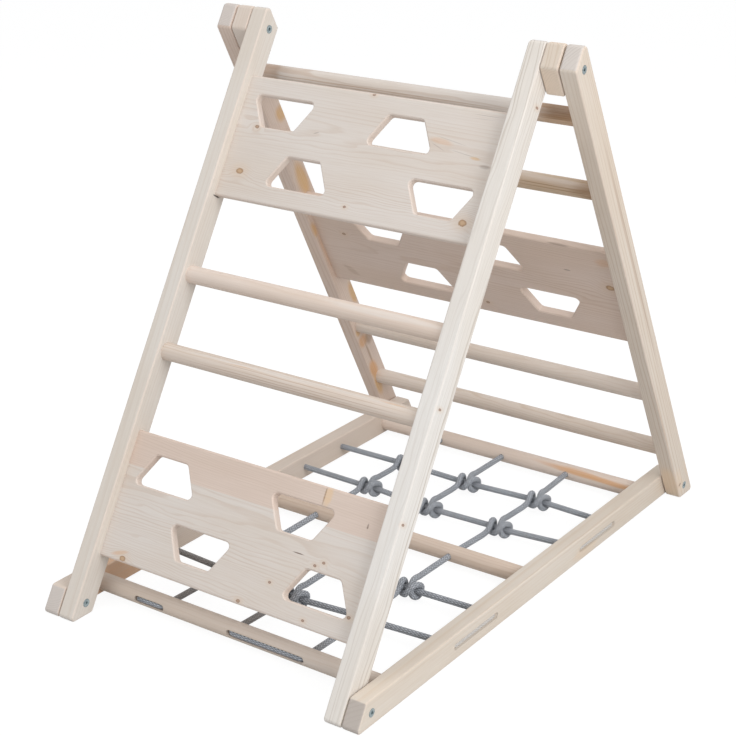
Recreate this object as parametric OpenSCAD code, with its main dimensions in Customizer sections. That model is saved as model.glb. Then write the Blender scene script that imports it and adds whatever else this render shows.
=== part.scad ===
// Folding climbing triangle: three timber frames bolted together at three corners, with
// climbing boards and rungs on the two sloping frames and a knotted rope net in the flat one.
// X runs across the triangle, +Y towards the rear, +Z up. The origin is on the floor, at the
// middle of the footprint. Side by side across X, the front frame is innermost, the net frame
// and the top spacers are in the middle lane, and the back frame is outermost.

/* [Triangle] */
// Width over the two back stiles
frame_w = 700; // [640:10:800]
// Length of the front frame from foot pivot to top pivot
front_leg = 1008; // [980:1:1040]
// Length of the back frame from foot pivot to top pivot
back_leg = 992; // [970:1:1020]
// Distance between the two foot pivots, along the net frame
base_leg = 988; // [970:1:1010]
// Width of the flat where the two sloping frames meet at the top
top_flat = 11; // [9:0.5:16]

/* [Timber] */
// Depth of every stile and rail
bar_w = 45; // [44:1:50]
// Thickness of every stile, rail and spacer lane
bar_t = 31; // [29:1:34]
// Radius along the edges of the stiles and rails
bar_edge_r = 3; // [1:0.5:4]
// Radius at the corners of the side outline
corner_r = 4; // [2:1:6]
// Gap between frames that lie side by side
lane_gap = 1.5; // [1:0.1:2]
// Depth by which the top spacers stand behind the rear face of the front stiles
spacer_drop = 4; // [0:1:6]

/* [Rungs and bars] */
// Diameter of every rung and bar
rung_d = 30; // [28:1:32]
// Depth of the blind bores that hold the rungs
rung_seat = 20; // [14:1:24]
// Depth of the blind bores that hold the net frame's bars, short of the rope slots
net_bar_seat = 15; // [10:1:16]
// Distance of the front frame's upper rung below the top pivot, along the stile
front_upper_rung_at = 439; // [420:1:460]
// Distance of the front frame's lower rung below the top pivot, along the stile
front_lower_rung_at = 574; // [550:1:600]
// Distances of the back frame's four rungs below the top pivot, along the stile
back_rungs_at = [98, 253, 741, 892];
// Distances of the net frame's front, middle and rear bars behind the front foot pivot
net_bars_at = [72, 496, 914];

/* [Climbing boards] */
// Height of each board
board_h = 215; // [205:1:225]
// Thickness of each board
board_t = 16; // [14:1:20]
// Radius along the long edges of each board
board_edge_r = 4; // [1:0.5:6]
// Depth of each board's face behind the face of the stiles
board_recess = 17; // [14:1:20]
// Distance of the upper front board's middle below the top pivot
front_upper_board_at = 192; // [180:1:200]
// Distance of the lower front board's middle below the top pivot
front_lower_board_at = 819; // [810:1:830]
// Distance of the back board's middle below the top pivot
back_board_at = 491.5; // [480:0.5:505]
// Depth of the grooves that hold the boards
groove_depth = 10; // [6:1:14]
// Length by which a groove runs on past its board at each end
groove_over = 3; // [2:1:6]

/* [Grip holes] */
// Length of the short side of a grip hole
grip_short = 66; // [56:1:70]
// Height of a grip hole
grip_h = 54; // [46:1:56]
// Slant of a grip hole's two ends away from square
grip_slant = 30; // [22:1:34]
// Radius in the corners of a grip hole
grip_r = 8; // [4:1:10]
// Bevel round the rim of a grip hole
grip_bevel = 2; // [1:0.5:3]
// Distance of each row of holes from the board's middle
grip_row = 48.5; // [44:0.5:52]
// Sideways shift of the back board's holes, to the right as seen from the front
back_grip_shift = 4; // [-6:1:8]

/* [Net] */
// Diameter of the rope
rope_d = 10; // [9:0.5:10]
// Distance between the lengthwise ropes
rope_pitch = 143; // [130:1:150]
// Distance between the two crosswise ropes of a field
row_pitch = 121; // [110:1:125]
// Middle of the front field's two crosswise ropes, behind the front foot pivot
front_field_at = 291; // [285:1:300]
// Middle of the rear field's two crosswise ropes, behind the front foot pivot
rear_field_at = 700; // [692:1:708]
// Sideways shift of each knot from the line of its lengthwise rope
knot_shift = 7; // [2:1:12]
// Length of the short slots that take the rope ends
end_slot = 52; // [40:1:60]

/* [Bolts] */
// Diameter of the bolt shanks
bolt_d = 6; // [5:0.5:7]
// Outside diameter of the sleeve nuts
sleeve_d = 9; // [8.5:0.5:10]
// Diameter of the bolt and sleeve nut heads
head_d = 14; // [13:0.5:15]
// Thickness of the heads
head_t = 3; // [2:0.5:4]
// Length of a sleeve nut without its head
sleeve_len = 50; // [44:1:54]
// Across-flats size of the hexagon sockets
hex_af = 5; // [4:0.5:6]
// Length of a bolt's thread inside its sleeve nut
thread_grip = 20; // [15:1:30]
// Diameter of the washers between the frames
washer_d = 20; // [16:1:24]

/* [Hidden] */

$fn = 48;

// Clearances: round a glued rung, round a board in its groove, between a front stile and its
// top spacer, round a turning shank, round a head in its recess, under a head, round a rope in
// its hole, beside a washer and in a washer's hole
glue_gap = 0.1;
groove_gap = 0.1;
spacer_gap = 0.6;
turn_gap = 0.05;
head_gap = 0.5;
seat_gap = 0.2;
rope_gap = 0.5;
washer_gap = 0.15;
washer_play = 0.4;

// Depth of a rope in its slot below the face, and of a hexagon socket as a share of its head
rope_sink = 1.5;
hex_share = 0.7;

// Colours of the pale timber, the rope and the zinc-plated steel
pale_wood = [0.86, 0.82, 0.77];
warm_wood = [0.83, 0.76, 0.69];
rope_grey = [0.55, 0.57, 0.60];
zinc = [0.70, 0.74, 0.80];
nylon = [0.92, 0.92, 0.90];

half_bar = bar_w / 2;
big = 2 * front_leg;
eps = 0.01;

// Side view, [y, z] measured from the front foot pivot
top_y = (base_leg * base_leg + front_leg * front_leg - back_leg * back_leg) / (2 * base_leg);
top_z = sqrt(front_leg * front_leg - top_y * top_y);
front_lean = atan2(top_y, top_z);
back_lean = atan2(base_leg - top_y, top_z);

// Corners of the side outline: outer face lines of the two sloping frames, floor and flat top
function front_face_y(z) = (z * sin(front_lean) - half_bar) / cos(front_lean);
function back_face_y(z) = base_leg + (half_bar - z * sin(back_lean)) / cos(back_lean);
flat_z = (back_face_y(0) - front_face_y(0) - top_flat) / (tan(front_lean) + tan(back_lean));
outline = [
    [front_face_y(-half_bar), -half_bar],
    [back_face_y(-half_bar), -half_bar],
    [back_face_y(flat_z), flat_z],
    [front_face_y(flat_z), flat_z]
];

// Length that rounding takes off the sharp end of a foot at the given lean
function foot_cut(lean) = corner_r * (1 / tan((90 - lean) / 2) - 1);

// The front foot pivot in the part's frame
pivot_y = -(outline[0][0] + foot_cut(front_lean) + outline[1][0] - foot_cut(back_lean)) / 2;
pivot_z = half_bar;

// Lanes across X, from the inner face of the front stiles outwards
back_out = frame_w / 2;
back_in = back_out - bar_t;
net_out = back_in - lane_gap;
net_in = net_out - bar_t;
front_out = net_in - lane_gap;
front_in = front_out - bar_t;

// Outer ends of the sleeve nuts that start in the front stiles
sleeve_end = front_in + head_t + sleeve_len;

// Board centre planes, measured backwards from each stile's own centre plane
front_board_y = board_recess + board_t / 2 - half_bar;
back_board_y = -front_board_y;

// Grip holes of a board seen from outside: [across, row, wide side], +1 for the upper row
// and +1 for a hole that is wide at its lower side
GRIPS = [[-170, 1, 1], [-70, -1, -1], [99, 1, -1], [171, -1, 1]];

// Ropes: lengthwise columns across X and crosswise rows along Y
rope_r = rope_d / 2;
rope_hole_d = rope_d + 2 * rope_gap;
rope_cols = [-rope_pitch, 0, rope_pitch];
front_rows = [front_field_at - row_pitch / 2, front_field_at + row_pitch / 2];
rear_rows = [rear_field_at - row_pitch / 2, rear_field_at + row_pitch / 2];
slot_depth = rope_d + rope_sink;
slot_line = rope_r + rope_gap;
turn_r = 6;

// ---------------------------------------------------------------- plain shapes

// Outline with every corner rounded to radius r by arcs of n steps
function rounded(points, r, n) = [
    for (i = [0 : len(points) - 1])
        let (
            p = points[i],
            a = points[(i + len(points) - 1) % len(points)] - p,
            b = points[(i + 1) % len(points)] - p,
            ua = a / norm(a),
            ub = b / norm(b),
            half = acos(ua * ub) / 2,
            mid = (ua + ub) / norm(ua + ub),
            c = p + mid * r / sin(half),
            start = p + ua * r / tan(half) - c,
            a0 = atan2(start[1], start[0]),
            side = ua[0] * ub[1] - ua[1] * ub[0] < 0 ? 1 : -1
        )
        for (k = [0 : n])
            let (ang = a0 + side * (180 - 2 * half) * k / n)
            c + r * [cos(ang), sin(ang)]
];

// Rectangle w by h, centred, with rounded corners
function rounded_box(w, h, r, n) = rounded(
    [[-w / 2, -h / 2], [w / 2, -h / 2], [w / 2, h / 2], [-w / 2, h / 2]], r, n);

// Extrudes a side view [y, z] across X from x0 to x1
module across(x0, x1) {
    translate([x0, 0, 0])
        rotate([90, 0, 90])
            linear_extrude(x1 - x0)
                children();
}

// Round bar across X from x0 to x1 about the local X axis
module round_bar(x0, x1, d) {
    translate([x0, 0, 0])
        rotate([0, 90, 0])
            cylinder(d = d, h = x1 - x0);
}

// Square-cut stick along local Z with rounded long edges, bar_t wide across X from x0
module stick(x0, z0, z1) {
    translate([x0 + bar_t / 2, 0, z0])
        linear_extrude(z1 - z0)
            polygon(rounded_box(bar_t, bar_w, bar_edge_r, 4));
}

// Places children made about the front foot pivot in the part's frame
module from_front_pivot() {
    translate([0, pivot_y, pivot_z])
        children();
}

// Puts local Z along the front stiles, with the local origin at the top pivot
module on_front_frame() {
    from_front_pivot()
        translate([0, top_y, top_z])
            rotate([-front_lean, 0, 0])
                children();
}

// Puts local Z along the back stiles, with the local origin at the top pivot
module on_back_frame() {
    from_front_pivot()
        translate([0, top_y, top_z])
            rotate([back_lean, 0, 0])
                children();
}

// Keeps what lies inside the side outline of the whole triangle
module trim_to_outline() {
    intersection() {
        children();
        from_front_pivot()
            across(-frame_w, frame_w)
                polygon(rounded(outline, corner_r, 5));
    }
}

// Draws children on the right-hand side, or mirrored on the left-hand side
module on_side(side) {
    mirror([side < 0 ? 1 : 0, 0, 0])
        children();
}

// ---------------------------------------------------------------- cuts

// Blind bore for a rung in the inner face at x0
module rung_bore(x0, seat) {
    round_bar(x0 - eps, x0 + seat + glue_gap, rung_d + 2 * glue_gap);
}

// Groove for a board end in the inner face at x0
module board_groove(x0) {
    across(x0 - eps, x0 + groove_depth + groove_gap)
        polygon(rounded_box(board_t + 2 * groove_gap, board_h + 2 * groove_over, groove_over, 6));
}

// Hole through the timber between x0 and x1 on a pivot line
module pivot_hole(x0, x1, d) {
    round_bar(x0 - eps, x1 + eps, d);
}

// Recess for a head in the face at x0, running outwards to x1
module head_recess(x0, x1) {
    round_bar(x0, x1, head_d + 2 * head_gap);
}

// Grip hole through a board, centred, with bevelled rims
module grip_hole(wide) {
    top_half = grip_short / 2;
    foot_half = top_half + grip_h * tan(grip_slant);
    shape = [[-foot_half, -grip_h / 2], [foot_half, -grip_h / 2],
             [top_half, grip_h / 2], [-top_half, grip_h / 2]];
    reach = board_t / 2;
    mirror([0, 0, wide < 0 ? 1 : 0])
        rotate([90, 0, 0]) {
            linear_extrude(board_t + 2, center = true)
                polygon(rounded(shape, grip_r, 5));
            for (face = [0, 1])
                mirror([0, 0, face])
                    bevel_ring(shape, reach - grip_bevel, reach + 1);
        }
}

// Flared mouth of a grip hole between depths z0 and z1
module bevel_ring(shape, z0, z1) {
    inner = rounded(shape, grip_r, 5);
    flare = z1 - z0;
    outer = grown(inner, flare);
    n = len(inner);
    points = concat([for (p = inner) [p[0], p[1], z0]], [for (p = outer) [p[0], p[1], z1]]);
    faces = concat(
        [[for (i = [0 : n - 1]) i]],
        [for (i = [0 : n - 1]) [n + i, n + (i + 1) % n, (i + 1) % n, i]],
        [[for (i = [n - 1 : -1 : 0]) n + i]]);
    polyhedron(points, faces);
}

// Closed outline moved outwards by d along the mean normal at each point
function grown(points, d) = [
    for (i = [0 : len(points) - 1])
        let (
            n = len(points),
            before = points[i] - points[(i + n - 1) % n],
            after = points[(i + 1) % n] - points[i],
            nb = [before[1], -before[0]] / norm(before),
            na = [after[1], -after[0]] / norm(after),
            m = (na + nb) / norm(na + nb)
        )
        points[i] + m * d / (m * na)
];

// ---------------------------------------------------------------- sloping frames

// Climbing board of the given half length, with four grip holes shifted by dx, seen from outside
module climbing_board(half_len, dx = 0) {
    difference() {
        across(-half_len, half_len)
            polygon(rounded_box(board_t, board_h, board_edge_r, 4));
        for (g = GRIPS)
            translate([g[0] + dx, 0, g[1] * grip_row])
                grip_hole(g[2]);
    }
}

// Front stile on the right-hand side; the bolt's sleeve nut turns in its foot hole
module front_stile() {
    trim_to_outline()
        on_front_frame()
            difference() {
                stick(front_in, -front_leg - bar_w * 2, bar_w * 2);
                for (s = [front_upper_rung_at, front_lower_rung_at])
                    translate([0, 0, -s])
                        rung_bore(front_in, rung_seat);
                for (s = [front_upper_board_at, front_lower_board_at])
                    translate([0, front_board_y, -s])
                        board_groove(front_in);
                for (s = [0, front_leg])
                    translate([0, 0, -s]) {
                        pivot_hole(front_in, front_out, sleeve_d + 2 * turn_gap);
                        head_recess(front_in - eps, front_in + head_t + seat_gap);
                    }
            }
}

// Top spacer on the right-hand side, the common part of both frames' stile strips
module top_spacer() {
    difference() {
        trim_to_outline()
            intersection() {
                on_front_frame()
                    spacer_stick(spacer_drop);
                on_back_frame()
                    spacer_stick(0);
            }
        on_front_frame()
            pivot_hole(front_out, net_out, sleeve_d + 2 * turn_gap);
    }
}

// Stick in the middle lane, deeper at its rear by the given amount
module spacer_stick(deeper) {
    x0 = front_out + spacer_gap;
    translate([(x0 + net_out) / 2, deeper / 2, -bar_w * 2])
        linear_extrude(bar_w * 4)
            polygon(rounded_box(net_out - x0, bar_w + deeper, bar_edge_r, 4));
}

// Back stile on the right-hand side; it turns on the shank of the top bolt
module back_stile() {
    trim_to_outline()
        on_back_frame()
            difference() {
                stick(back_in, -back_leg - bar_w * 2, bar_w * 2);
                for (s = back_rungs_at)
                    translate([0, 0, -s])
                        rung_bore(back_in, rung_seat);
                translate([0, back_board_y, -back_board_at])
                    board_groove(back_in);
                for (s = [0, back_leg])
                    translate([0, 0, -s]) {
                        pivot_hole(back_in, back_out, bolt_d + 2 * turn_gap);
                        head_recess(back_out - head_t - seat_gap, back_out + eps);
                    }
            }
}

module front_stile_left() { color(pale_wood) on_side(-1) front_stile(); }
module front_stile_right() { color(pale_wood) on_side(1) front_stile(); }
module back_stile_left() { color(warm_wood) on_side(-1) back_stile(); }
module back_stile_right() { color(warm_wood) on_side(1) back_stile(); }
module top_spacer_left() { color(pale_wood) on_side(-1) top_spacer(); }
module top_spacer_right() { color(pale_wood) on_side(1) top_spacer(); }

// The upper board is the lower one turned half round in its own plane
module front_upper_board() {
    color(pale_wood)
        on_front_frame()
            translate([0, front_board_y, -front_upper_board_at])
                rotate([0, 180, 0])
                    climbing_board(front_in + groove_depth);
}

module front_lower_board() {
    color(pale_wood)
        on_front_frame()
            translate([0, front_board_y, -front_lower_board_at])
                climbing_board(front_in + groove_depth);
}

module back_board() {
    color(warm_wood)
        on_back_frame()
            translate([0, back_board_y, -back_board_at])
                rotate([0, 180, 0])
                    climbing_board(back_in + groove_depth, -back_grip_shift);
}

module front_rung(s) {
    color(pale_wood)
        on_front_frame()
            translate([0, 0, -s])
                round_bar(-front_in - rung_seat, front_in + rung_seat, rung_d);
}

module back_rung(i) {
    color(warm_wood)
        on_back_frame()
            translate([0, 0, -back_rungs_at[i]])
                round_bar(-back_in - rung_seat, back_in + rung_seat, rung_d);
}

module front_upper_rung() { front_rung(front_upper_rung_at); }
module front_lower_rung() { front_rung(front_lower_rung_at); }
module back_rung_1() { back_rung(0); }
module back_rung_2() { back_rung(1); }
module back_rung_3() { back_rung(2); }
module back_rung_4() { back_rung(3); }

// ---------------------------------------------------------------- net frame

// Hole for a rope through a rail, across X
module rail_rope_hole(y) {
    translate([0, y, 0])
        round_bar(net_in - eps, net_out + eps, rope_hole_d);
}

// Slot in a rail's outer face between two places along Y
module rail_slot(y0, y1) {
    translate([net_out - slot_depth, y0, -rope_hole_d / 2])
        cube([slot_depth + eps, y1 - y0, rope_hole_d]);
    for (y = [y0, y1])
        translate([0, y, 0])
            round_bar(net_out - slot_depth, net_out + eps, rope_hole_d);
}

// Rail on the right-hand side, with slots as [from, to] pairs
module net_rail(slots) {
    from_front_pivot()
        difference() {
            intersection() {
                translate([(net_in + net_out) / 2, -big / 4, 0])
                    rotate([-90, 0, 0])
                        linear_extrude(big)
                            polygon(rounded_box(bar_t, bar_w, bar_edge_r, 4));
                across(net_in - 1, net_out + 1)
                    polygon(rounded(outline, corner_r, 5));
            }
            for (y = net_bars_at)
                translate([0, y, 0])
                    rung_bore(net_in, net_bar_seat);
            for (y = concat(front_rows, rear_rows))
                rail_rope_hole(y);
            for (s = slots)
                rail_slot(s[0], s[1]);
            pivot_hole(net_in, net_out, bolt_d + 2 * turn_gap);
            pivot_hole(net_in, sleeve_end, sleeve_d + 2 * turn_gap);
            head_recess(net_out - head_t - seat_gap, net_out + eps);
            translate([0, base_leg, 0]) {
                pivot_hole(net_in, net_out, sleeve_d + 2 * turn_gap);
                head_recess(net_in - eps, net_in + head_t + seat_gap);
            }
        }
}

module net_rail_right() {
    color(pale_wood)
        on_side(1)
            net_rail([front_rows, rear_rows]);
}

module net_rail_left() {
    color(pale_wood)
        on_side(-1)
            net_rail([
                [front_rows[0] - end_slot, front_rows[0]],
                [front_rows[1], rear_rows[0]],
                [rear_rows[1], rear_rows[1] + end_slot]
            ]);
}

// Round bar of the net frame at y, with rope holes and slots in one side:
// side -1 is the front of the bar and +1 is its rear; slots are [from, to] pairs across X
module net_bar(y, side, slots) {
    color(pale_wood)
        from_front_pivot()
            translate([0, y, 0])
                difference() {
                    round_bar(-net_in - net_bar_seat, net_in + net_bar_seat, rung_d);
                    for (x = rope_cols)
                        translate([x, 0, 0])
                            rotate([90, 0, 0])
                                cylinder(d = rope_hole_d, h = rung_d + 2, center = true);
                    for (s = slots)
                        bar_slot(side, s[0], s[1]);
                }
}

// Slot in a bar's front or rear side between two places across X
module bar_slot(side, x0, x1) {
    mirror([0, side < 0 ? 1 : 0, 0]) {
        translate([x0, rung_d / 2 - slot_depth, -rope_hole_d / 2])
            cube([x1 - x0, slot_depth + 1, rope_hole_d]);
        for (x = [x0, x1])
            translate([x, rung_d / 2 - slot_depth, 0])
                rotate([-90, 0, 0])
                    cylinder(d = rope_hole_d, h = slot_depth + 1);
    }
}

module net_front_bar() {
    net_bar(net_bars_at[0], -1,
        [[rope_cols[0] - end_slot, rope_cols[0]], [rope_cols[1], rope_cols[2]]]);
}

module net_middle_bar() { net_bar(net_bars_at[1], 1, []); }

module net_rear_bar() {
    net_bar(net_bars_at[2], 1,
        [[rope_cols[0], rope_cols[1]], [rope_cols[2], rope_cols[2] + end_slot]]);
}

// ---------------------------------------------------------------- ropes

// Route of a lengthwise rope round a crosswise one, in rope diameters: [across, turn, reach].
// The turn is counted round the crosswise rope, 0 in front, 90 on top, 180 behind and 270
// below. The rope goes round on the left, crosses to the right over its own way out, and goes
// round on the right.
KNOT = [
    [-1.00, 14, 1.52], [-1.12, 44, 1.20], [-1.32, 82, 1.10], [-1.45, 130, 1.10],
    [-1.52, 180, 1.09], [-1.50, 230, 1.09], [-1.38, 270, 1.09], [-1.08, 302, 1.09],
    [0.02, 342, 1.58], [0.55, 360, 2.05], [1.05, 380, 2.20], [1.45, 402, 2.12],
    [1.72, 428, 1.75], [1.88, 495, 1.10], [1.84, 540, 1.09], [1.75, 590, 1.09],
    [1.60, 635, 1.09], [1.38, 680, 1.09], [1.14, 712, 1.09], [0.88, 745, 1.09],
    [0.66, 778, 1.10]
];
// The straight ends that lead into and out of the knot, [x, y, z] in rope diameters
KNOT_IN = [[-0.80, -4.2, 0], [-0.92, -2.5, 0]];
KNOT_OUT = [[0.40, 0.35, 1.16], [0.05, 1.6, 1.15], [-0.35, 3.6, 0.60]];
// Middle of the knot, across from its own place, and half the length it takes on the crosswise
// rope, in rope diameters
KNOT_MID = 0.2;
KNOT_HALF = 2.6;
// How far each knot sags or is pulled from its place on straight ropes, [x, y, z] in mm: the
// left, middle and right knot of each row, from the front row to the rear one
SAG = [
    [[0, -3, -4], [0, -10, -5], [0, -2, -4]],
    [[0, 0, -3], [0, 0, -3], [-2, 0, -3]],
    [[0, 0, -2], [-3, -6, -5], [1, -3, -5]],
    [[2, 0, 1], [1, 0, -1], [10, 0, 3]]
];

function knot_point(k) = [k[0], -cos(k[1]) * k[2], sin(k[1]) * k[2]] * rope_d;

// Route of one knot about its crosswise rope at [x, y], moved by the given offset
function knot(x, y, off = [0, 0, 0]) = [
    for (p = concat(
            [for (p = KNOT_IN) p * rope_d],
            [for (k = KNOT) knot_point(k)],
            [for (p = KNOT_OUT) p * rope_d]))
        p + [x + knot_shift, y, 0] + off
];

// Smooth curve through the points, with n steps between each two
function smooth(p, n) = concat(
    [for (i = [0 : len(p) - 2], k = [0 : n - 1])
        let (
            t = k / n,
            a = p[max(i - 1, 0)],
            b = p[i],
            c = p[i + 1],
            d = p[min(i + 2, len(p) - 1)]
        )
        (2 * b + (c - a) * t + (2 * a - 5 * b + 4 * c - d) * t * t
            + (3 * b - a - 3 * c + d) * t * t * t) / 2],
    [p[len(p) - 1]]);

// Quarter turn of a rope about centre c, from direction angle a0 to a1 in the XY plane
function corner(c, a0, a1, n) = [
    for (k = [0 : n])
        let (a = a0 + (a1 - a0) * k / n)
        [c[0] + turn_r * cos(a), c[1] + turn_r * sin(a), 0]
];

function reversed(p) = [for (i = [len(p) - 1 : -1 : 0]) p[i]];

// Lengthwise column i from the front field to the rear field, through the middle bar
function column(i) =
    let (x = rope_cols[i])
    concat(
        smooth(knot(x, front_rows[0], SAG[0][i]), 2),
        smooth(knot(x, front_rows[1], SAG[1][i]), 2),
        [[x, net_bars_at[1] - rung_d / 2, 0], [x, net_bars_at[1] + rung_d / 2, 0]],
        smooth(knot(x, rear_rows[0], SAG[2][i]), 2),
        smooth(knot(x, rear_rows[1], SAG[3][i]), 2));

// Centre lines of the rope in the front bar's and the rear bar's slots
front_slot_y = net_bars_at[0] - rung_d / 2 + slot_depth - slot_line;
rear_slot_y = net_bars_at[2] + rung_d / 2 - slot_depth + slot_line;

// The lengthwise rope, one length from its end in the front bar to its end in the rear bar
long_route = concat(
    [[rope_cols[0] - end_slot, front_slot_y, 0]],
    corner([rope_cols[0] - turn_r, front_slot_y + turn_r], -90, 0, 3),
    [[rope_cols[0], net_bars_at[0] + rung_d / 2, 0]],
    column(0),
    [[rope_cols[0], net_bars_at[2] - rung_d / 2, 0]],
    corner([rope_cols[0] + turn_r, rear_slot_y - turn_r], 180, 90, 3),
    corner([rope_cols[1] - turn_r, rear_slot_y - turn_r], 90, 0, 3),
    [[rope_cols[1], net_bars_at[2] - rung_d / 2, 0]],
    reversed(column(1)),
    [[rope_cols[1], net_bars_at[0] + rung_d / 2, 0]],
    corner([rope_cols[1] + turn_r, front_slot_y + turn_r], 180, 270, 3),
    corner([rope_cols[2] - turn_r, front_slot_y + turn_r], -90, 0, 3),
    [[rope_cols[2], net_bars_at[0] + rung_d / 2, 0]],
    column(2),
    [[rope_cols[2], net_bars_at[2] - rung_d / 2, 0]],
    corner([rope_cols[2] + turn_r, rear_slot_y - turn_r], 180, 90, 3),
    [[rope_cols[2] + end_slot, rear_slot_y, 0]]);

// Centre line of the rope in the rails' outer slots
rail_slot_x = net_out - slot_depth + slot_line;

// Points on row r of the crosswise rope at y, straight through each knot, from left to right
function row_points(r, y) = [
    for (i = [0 : 2], side = [-1, 1])
        [rope_cols[i] + knot_shift + (KNOT_MID + side * KNOT_HALF) * rope_d, y, 0] + SAG[r][i]
];

// The crosswise rope, one length from the left rail's rear to the left rail's front
cross_route = concat(
    [[-rail_slot_x, rear_rows[1] + end_slot, 0]],
    corner([-rail_slot_x + turn_r, rear_rows[1] + turn_r], 180, 270, 3),
    [[-net_in, rear_rows[1], 0]], row_points(3, rear_rows[1]), [[net_in, rear_rows[1], 0]],
    corner([rail_slot_x - turn_r, rear_rows[1] - turn_r], 90, 0, 3),
    corner([rail_slot_x - turn_r, rear_rows[0] + turn_r], 0, -90, 3),
    [[net_in, rear_rows[0], 0]], reversed(row_points(2, rear_rows[0])), [[-net_in, rear_rows[0], 0]],
    corner([-rail_slot_x + turn_r, rear_rows[0] - turn_r], 90, 180, 3),
    corner([-rail_slot_x + turn_r, front_rows[1] + turn_r], 180, 270, 3),
    [[-net_in, front_rows[1], 0]], row_points(1, front_rows[1]), [[net_in, front_rows[1], 0]],
    corner([rail_slot_x - turn_r, front_rows[1] - turn_r], 90, 0, 3),
    corner([rail_slot_x - turn_r, front_rows[0] + turn_r], 0, -90, 3),
    [[net_in, front_rows[0], 0]], reversed(row_points(0, front_rows[0])), [[-net_in, front_rows[0], 0]],
    corner([-rail_slot_x + turn_r, front_rows[0] - turn_r], 90, 180, 3),
    [[-rail_slot_x, front_rows[0] - end_slot, 0]]);

function unit(v) = v / norm(v);

// Direction of the route at each of its points
function headings(p) = [
    for (i = [0 : len(p) - 1])
        unit(p[min(i + 1, len(p) - 1)] - p[max(i - 1, 0)])
];

// Sideways directions carried along the route without twist
function carried(t, i = 0, side = undef, done = []) =
    i == len(t) ? done :
    let (
        old = side == undef ? unit(cross(t[0], [0.01, 0.02, 1])) : side,
        new = unit(old - t[i] * (t[i] * old))
    )
    carried(t, i + 1, new, concat(done, [new]));

// Unbroken tube of the given diameter and number of sides along a route
module tube(p, d, sides) {
    t = headings(p);
    u = carried(t);
    points = [
        for (i = [0 : len(p) - 1])
            let (v = cross(t[i], u[i]))
            for (k = [0 : sides - 1])
                let (a = 360 * k / sides)
                p[i] + d / 2 * (cos(a) * u[i] + sin(a) * v)
    ];
    walls = [
        for (i = [0 : len(p) - 2], k = [0 : sides - 1])
            let (
                a = i * sides + k,
                b = i * sides + (k + 1) % sides
            )
            for (face = [[a, a + sides, b], [b, a + sides, b + sides]])
                face
    ];
    first = [for (k = [0 : sides - 1]) k];
    last = [for (k = [sides - 1 : -1 : 0]) (len(p) - 1) * sides + k];
    polyhedron(points, concat(walls, [first, last]));
}

// Least distance between parts of a route that are more than a few diameters apart along it
function run_lengths(p, i = 0, s = 0, done = []) =
    i == len(p) ? done :
    let (s2 = i == 0 ? 0 : s + norm(p[i] - p[i - 1]))
    run_lengths(p, i + 1, s2, concat(done, [s2]));

function least_gap(p) =
    let (s = run_lengths(p))
    min([for (i = [0 : len(p) - 1], j = [i + 1 : 1 : len(p) - 1])
        if (s[j] - s[i] > 2.6 * rope_d) norm(p[i] - p[j])]) - rope_d;

// Points of a route with the middle of each step added
function with_middles(p) = concat(
    [for (i = [0 : len(p) - 2]) for (q = [p[i], (p[i] + p[i + 1]) / 2]) q],
    [p[len(p) - 1]]);

knot_line = with_middles(smooth(knot(0, 0), 2));
echo(least_gap_of_a_knot_to_itself_mm = least_gap(knot_line));
echo(least_gap_of_a_knot_to_the_crosswise_rope_mm =
    min([for (q = knot_line) norm([q[1], q[2]])]) - rope_d);

module net_long_rope() {
    color(rope_grey)
        from_front_pivot()
            tube(long_route, rope_d, 6);
}

module net_cross_rope() {
    color(rope_grey)
        from_front_pivot()
            tube(cross_route, rope_d, 8);
}

// ---------------------------------------------------------------- bolts

// Head with a hexagon socket, its outer face at x0, pointing to the side (+1 outwards)
module socket_head(x0, side) {
    translate([x0, 0, 0])
        rotate([0, -90 * side, 0])
            difference() {
                cylinder(d = head_d, h = head_t);
                translate([0, 0, -1])
                    cylinder(d = hex_af / cos(30), h = 1 + head_t * hex_share, $fn = 6);
            }
}

// Bolt from an outer face at x1 inwards to x0
module bolt(x0, x1) {
    socket_head(x1, 1);
    round_bar(x0, x1 - head_t, bolt_d);
}

// Sleeve nut from an inner face at x0 outwards to x1, hollow from its far end
module sleeve_nut(x0, x1) {
    socket_head(x0, -1);
    difference() {
        round_bar(x0 + head_t, x1, sleeve_d);
        round_bar(x0 + 2 * head_t, x1 + 1, bolt_d + 2 * turn_gap);
    }
}

// The same on both sides of the triangle, on the pivot line at [y, z] from the front foot
module pair(y, z) {
    for (side = [-1, 1])
        from_front_pivot()
            translate([0, y, z])
                on_side(side)
                    children();
}

module top_bolts() {
    color(zinc) pair(top_y, top_z) bolt(sleeve_end - thread_grip, back_out);
}
module top_sleeve_nuts() {
    color(zinc) pair(top_y, top_z) sleeve_nut(front_in, sleeve_end);
}
module front_foot_bolts() {
    color(zinc) pair(0, 0) bolt(sleeve_end - thread_grip, net_out);
}
module front_foot_sleeve_nuts() {
    color(zinc) pair(0, 0) sleeve_nut(front_in, sleeve_end);
}
module rear_foot_bolts() {
    color(zinc) pair(base_leg, 0) bolt(back_in + 0.1, back_out);
}
module rear_foot_sleeve_nuts() {
    color(zinc) pair(base_leg, 0) sleeve_nut(net_in, net_out - 0.1);
}

// Thin washer across X from x0 to x1 with a hole of diameter d
module washer(x0, x1, d) {
    difference() {
        round_bar(x0, x1, washer_d);
        round_bar(x0 - 1, x1 + 1, d);
    }
}

module top_washers() {
    color(nylon) pair(top_y, top_z) washer(net_out, back_in - washer_gap, bolt_d + washer_play);
}
module front_foot_washers() {
    color(nylon) pair(0, 0) washer(front_out + washer_gap, net_in, sleeve_d + washer_play);
}

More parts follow.
